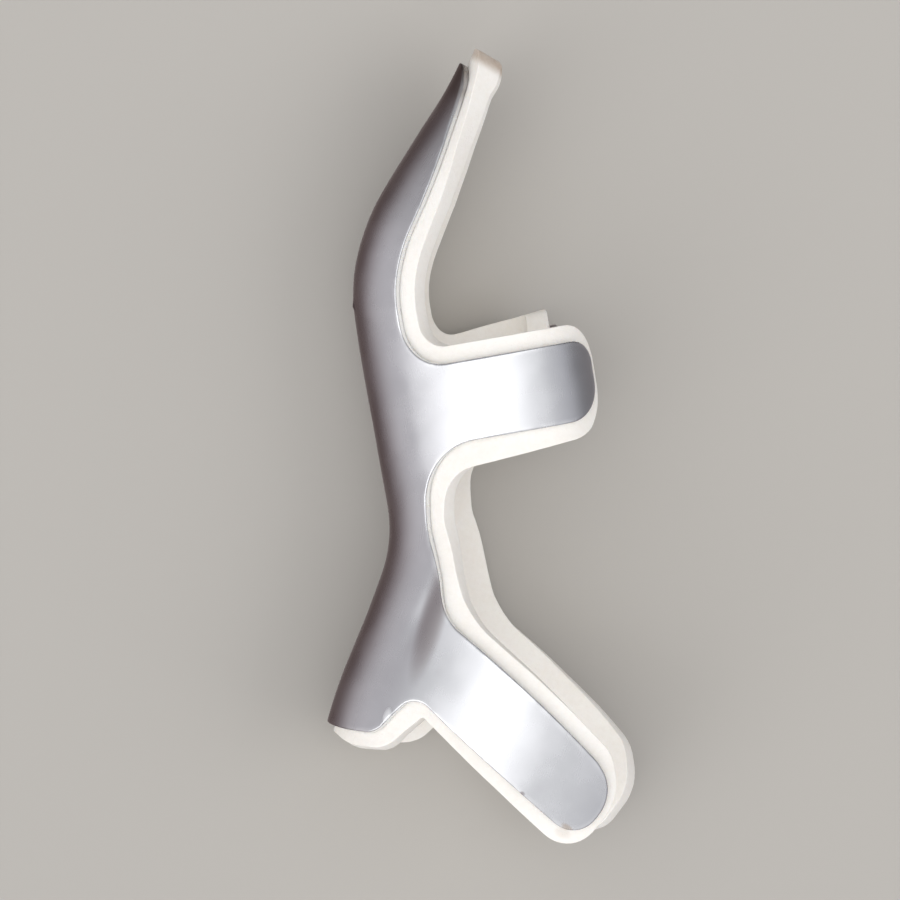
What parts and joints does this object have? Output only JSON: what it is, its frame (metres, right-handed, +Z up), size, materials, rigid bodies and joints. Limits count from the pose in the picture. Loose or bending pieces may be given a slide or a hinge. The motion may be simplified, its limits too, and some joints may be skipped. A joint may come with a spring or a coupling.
{
  "type": "finger splint",
  "caption": "Foam-lined aluminium finger splint: a trough bent to the palm side of a finger, with side tabs that wrap over the back of the finger in two places.",
  "frame": {"origin": "bottom centre of the box round the splint, which lies on its far side", "axes": "+Y towards the fingertip end, +Z up from the surface it lies on, +X towards the back of the finger, where the tabs end"},
  "size_m": [0.0406, 0.099, 0.0321],
  "materials": {
    "aluminium": "satin rolled sheet with a plain cut edge",
    "foam": "matt open-cell foam, off-white"
  },
  "bodies": {
    "root": {"aluminium_shell": "aluminium", "foam_pad": "foam"}
  },
  "joints": []
}
